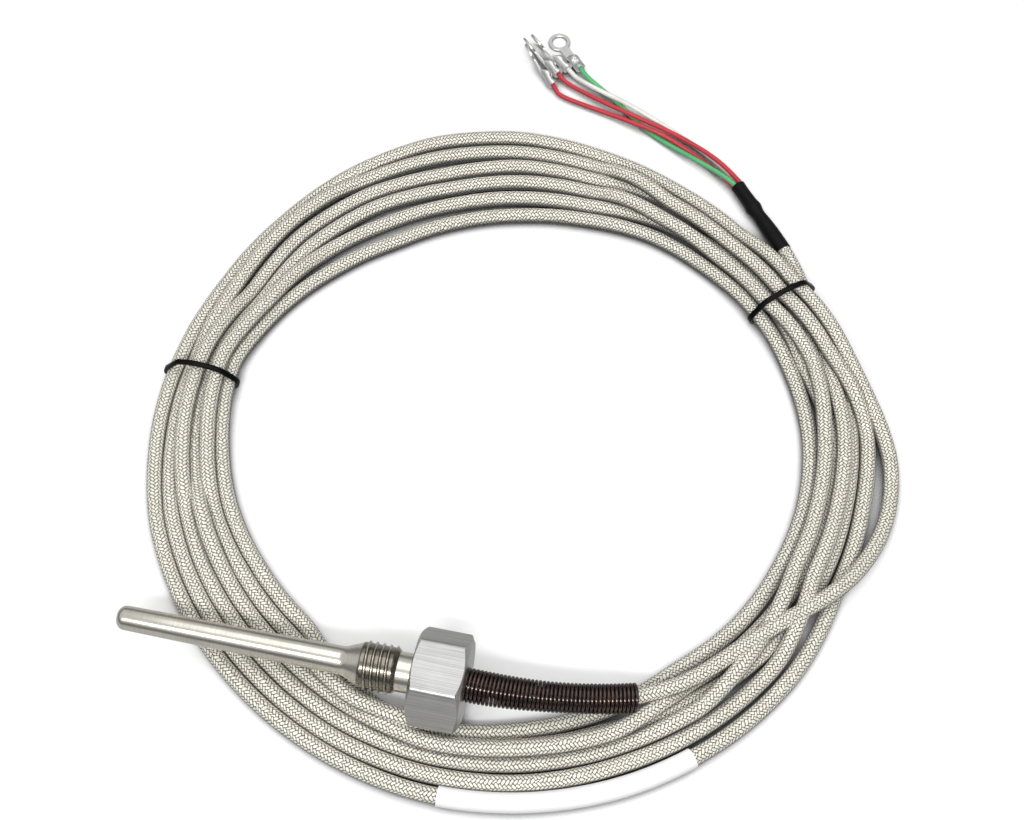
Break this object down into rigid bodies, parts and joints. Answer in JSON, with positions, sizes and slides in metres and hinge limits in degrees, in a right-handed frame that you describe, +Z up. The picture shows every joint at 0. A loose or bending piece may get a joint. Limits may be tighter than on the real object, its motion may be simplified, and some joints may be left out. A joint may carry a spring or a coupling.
{
  "type": "temperature sensor",
  "caption": "Screw-in probe with a slim stem, threaded collar and hexagon, a bent strain-relief spring, a coiled braided cable and ring terminals on coloured leads.",
  "frame": {"origin": "on the probe's axis, at the hexagon's end of the full process thread", "axes": "-X along the probe towards its tip, +X towards the cable, +Z up from the floor that the sensor lies on"},
  "size_m": [0.227, 0.2736, 0.026],
  "materials": {
    "stainless": "turned and lightly polished",
    "spring_wire": "dark drawn spring wire",
    "braid": "fine woven metal braid",
    "tie_nylon": "moulded, slight sheen",
    "label_plastic": "matt",
    "shrink_sleeve": "satin",
    "red_insulation": "smooth extruded",
    "white_insulation": "smooth extruded",
    "green_insulation": "smooth extruded",
    "tinned_copper": "tinned, satin",
    "silver_wire": "drawn wire",
    "ceramic": "fired, matt",
    "powder": "packed powder",
    "resin": "cast resin",
    "clear_sleeve": "thin shrunk tube"
  },
  "bodies": {
    "root": {"probe_body": "stainless", "sensing_element": "ceramic", "tip_filler": "powder", "element_insulator": "ceramic", "element_wires": "silver_wire", "splice_crimps": "tinned_copper", "splice_sleeves": "clear_sleeve", "cable_cores": "white_insulation", "potting_plug": "resin", "crimp_ferrule": "stainless", "strain_relief_spring": "spring_wire", "cable_lead": "braid", "cable_outer_run": "braid", "cable_tail": "braid", "cable_coil": "braid", "tie_right": "tie_nylon", "tie_left": "tie_nylon", "label_sleeve": "label_plastic", "end_sleeve": "shrink_sleeve", "lead_red_upper": "red_insulation", "lead_red_lower": "red_insulation", "lead_white": "white_insulation", "lead_green": "green_insulation", "ring_terminal_red_upper": "tinned_copper", "ring_terminal_red_lower": "tinned_copper", "ring_terminal_white": "tinned_copper", "ring_terminal_green": "tinned_copper", "conductor_ends": "tinned_copper"}
  },
  "joints": []
}
